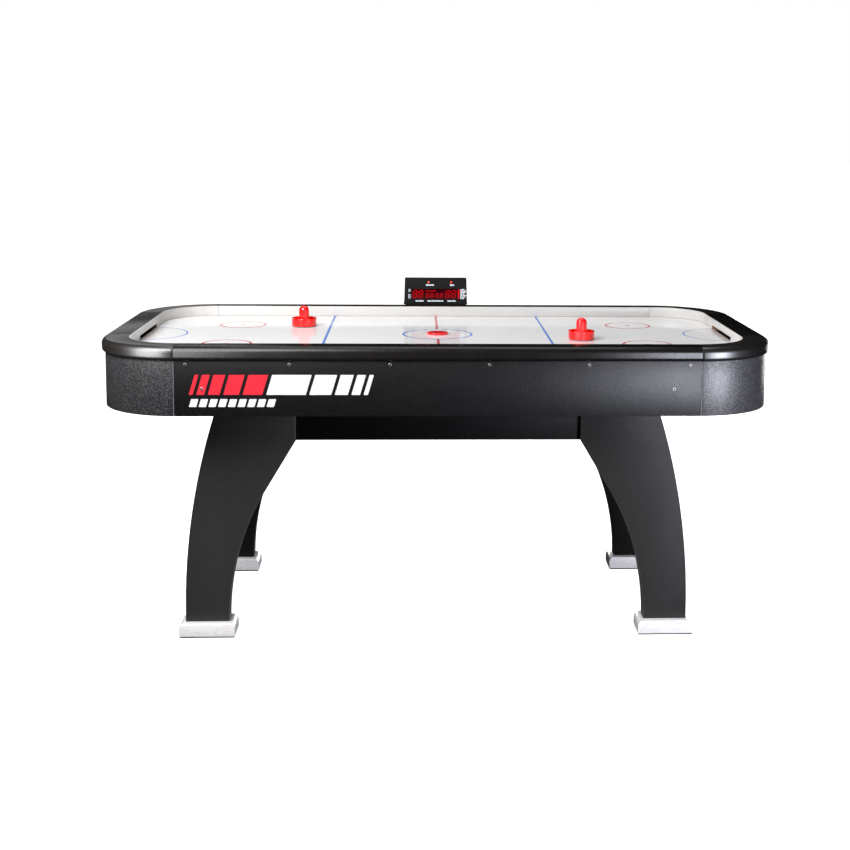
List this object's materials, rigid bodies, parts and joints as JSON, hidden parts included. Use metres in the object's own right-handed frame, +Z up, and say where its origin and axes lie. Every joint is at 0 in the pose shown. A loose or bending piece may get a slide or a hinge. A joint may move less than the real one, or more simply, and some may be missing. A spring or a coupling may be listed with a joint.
{
  "type": "air hockey table",
  "caption": "Free-standing air hockey table with rounded rails, goal slots, blower, scoreboard, puck and pushers, on arched legs.",
  "frame": {"origin": "on the floor under the middle of the table", "axes": "+X along the rink to the right, +Y across it to the side that carries the scoreboard, +Z up"},
  "size_m": [1.83, 0.914, 0.913],
  "materials": {
    "rail_laminate": "black wood-grain laminate, satin",
    "rail_corner_gloss": "moulded black plastic, semi-gloss",
    "apron_laminate": "black fine-speckled laminate, satin",
    "apron_corner_grain": "moulded black plastic, grained",
    "liner_white": "white smooth plastic",
    "playfield_white": "white gloss lacquer with printed lines",
    "raw_board": "raw fibreboard",
    "goal_black": "moulded black plastic",
    "leg_black": "black laminate, matte",
    "foot_silver": "silver-white brushed lacquer",
    "pad_rubber": "rubber",
    "skirt_black": "black laminate, satin",
    "screw_steel": "plated steel",
    "bracket_zinc": "zinc plated",
    "blower_black": "moulded black plastic",
    "panel_black": "moulded black plastic",
    "switch_black": "moulded black plastic, gloss",
    "board_black": "moulded black plastic, fine grain",
    "board_window": "dark red display filter",
    "board_digits": "seven-segment digits on a dark board",
    "button_red": "red plastic, gloss",
    "puck_red": "red plastic, gloss",
    "pusher_red": "red plastic, gloss",
    "felt_green": "felt"
  },
  "bodies": {
    "table": {"apron_back": "apron_laminate", "apron_corner_back_left": "apron_corner_grain", "apron_corner_back_right": "apron_corner_grain", "apron_corner_front_left": "apron_corner_grain", "apron_corner_front_right": "apron_corner_grain", "apron_front": "apron_laminate", "apron_left": "apron_laminate", "apron_right": "apron_laminate", "apron_screws": "screw_steel", "blower_guard": "blower_black", "blower_housing": "blower_black", "foot_back_left": "foot_silver", "foot_back_right": "foot_silver", "foot_front_left": "foot_silver", "foot_front_right": "foot_silver", "foot_pads": "pad_rubber", "goal_box_left": "goal_black", "goal_box_right": "goal_black", "leg_back_left": "leg_black", "leg_back_right": "leg_black", "leg_bolts": "screw_steel", "leg_brackets": "bracket_zinc", "leg_front_left": "leg_black", "leg_front_right": "leg_black", "liner_back": "liner_white", "liner_corners": "liner_white", "liner_front": "liner_white", "liner_left": "liner_white", "liner_right": "liner_white", "playfield": "playfield_white", "playfield_cleats": "raw_board", "plenum_boards": "raw_board", "plenum_bottom": "raw_board", "plenum_braces": "raw_board", "power_panel": "panel_black", "rail_back": "rail_laminate", "rail_corner_back_left": "rail_corner_gloss", "rail_corner_back_right": "rail_corner_gloss", "rail_corner_front_left": "rail_corner_gloss", "rail_corner_front_right": "rail_corner_gloss", "rail_front": "rail_laminate", "rail_left": "rail_laminate", "rail_right": "rail_laminate", "scoreboard_bracket": "board_black", "scoreboard_display": "board_digits", "scoreboard_housing": "board_black", "scoreboard_window": "board_window", "skirt_back": "skirt_black", "skirt_front": "skirt_black", "stretcher_left": "skirt_black", "stretcher_right": "skirt_black"},
    "puck": {"puck": "puck_red"},
    "pusher_left": {"pusher_left": "pusher_red", "pusher_felt_left": "felt_green"},
    "pusher_right": {"pusher_right": "pusher_red", "pusher_felt_right": "felt_green"},
    "score_button_left": {"score_button_left": "button_red"},
    "score_button_right": {"score_button_right": "button_red"},
    "impeller": {"blower_impeller": "blower_black"},
    "rocker": {"power_switch": "switch_black"}
  },
  "joints": [
    {"name": "puck_slide", "type": "slide", "parent": "table", "child": "puck", "axis": [1, 0, 0], "range_m": [-0.8, 0.8]},
    {"name": "pusher_left_slide", "type": "slide", "parent": "table", "child": "pusher_left", "axis": [1, 0, 0], "range_m": [-0.395, 0.36]},
    {"name": "pusher_right_slide", "type": "slide", "parent": "table", "child": "pusher_right", "axis": [1, 0, 0], "range_m": [-0.37, 0.385]},
    {"name": "score_button_left_press", "type": "slide", "parent": "table", "child": "score_button_left", "axis": [0, 1, 0], "range_m": [0, 0.0012], "stiffness_N_per_m": 300, "springref_m": -0.001},
    {"name": "score_button_right_press", "type": "slide", "parent": "table", "child": "score_button_right", "axis": [0, 1, 0], "range_m": [0, 0.0012], "stiffness_N_per_m": 300, "springref_m": -0.001},
    {"name": "impeller_spin", "type": "hinge", "parent": "table", "child": "impeller", "pos_m": [0, 0, 0.706], "axis": [0, 0, 1], "continuous": true},
    {"name": "rocker_tilt", "type": "hinge", "parent": "table", "child": "rocker", "pos_m": [0.578, 0.449, 0.7135], "axis": [1, 0, 0], "range_deg": [-12, 0]}
  ]
}
